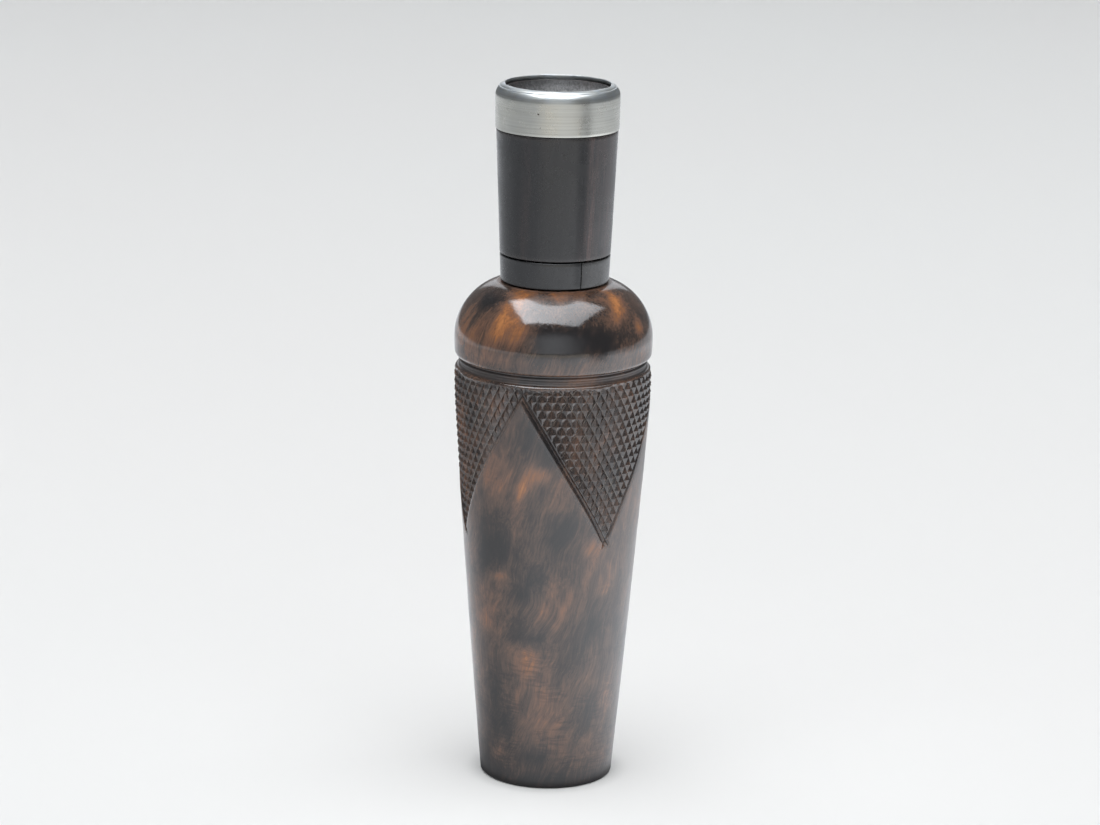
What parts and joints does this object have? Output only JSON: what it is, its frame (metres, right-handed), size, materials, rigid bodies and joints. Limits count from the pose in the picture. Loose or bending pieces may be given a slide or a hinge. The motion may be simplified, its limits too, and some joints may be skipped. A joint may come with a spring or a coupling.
{
  "type": "duck call",
  "caption": "Turned duck call: tapered burl barrel with a domed end, and a stopper of stem, metal band and split collar holding a brass reed.",
  "frame": {"origin": "centre of the mouthpiece end's flat face, at the bottom of the barrel", "axes": "+Z along the call's axis from the mouthpiece to the exhaust, -Y towards the viewer, +X to the viewer's right"},
  "size_m": [0.037, 0.037, 0.132],
  "materials": {
    "walnut_burl": "glossy oil and lacquer over dark walnut burl",
    "dark_hardwood": "satin, almost black rosewood",
    "white_metal": "turned and lightly polished",
    "hard_rubber": "satin black hard rubber",
    "brass": "rolled sheet and drawn wire, lightly tarnished"
  },
  "bodies": {
    "barrel_body": {"barrel": "walnut_burl"},
    "insert": {"tone_board": "hard_rubber", "reed_block": "hard_rubber", "reed_heel": "brass", "locating_pin_left": "brass", "locating_pin_right": "brass"},
    "stem_body": {"stem": "dark_hardwood", "stem_band": "white_metal"},
    "reed": {"reed_tongue": "brass"}
  },
  "joints": [
    {"name": "stopper_pull", "type": "slide", "parent": "barrel_body", "child": "insert", "axis": [0, 0, 1], "range_m": [0, 0.052]},
    {"name": "stem_pull", "type": "slide", "parent": "insert", "child": "stem_body", "axis": [0, 0, 1], "range_m": [0, 0.013]},
    {"name": "reed_flex", "type": "hinge", "parent": "insert", "child": "reed", "pos_m": [0, 0, 0.076], "axis": [0.4772, -0.8788, 0], "range_deg": [-2.2, 1.5], "stiffness_Nm_per_rad": 0.25}
  ]
}
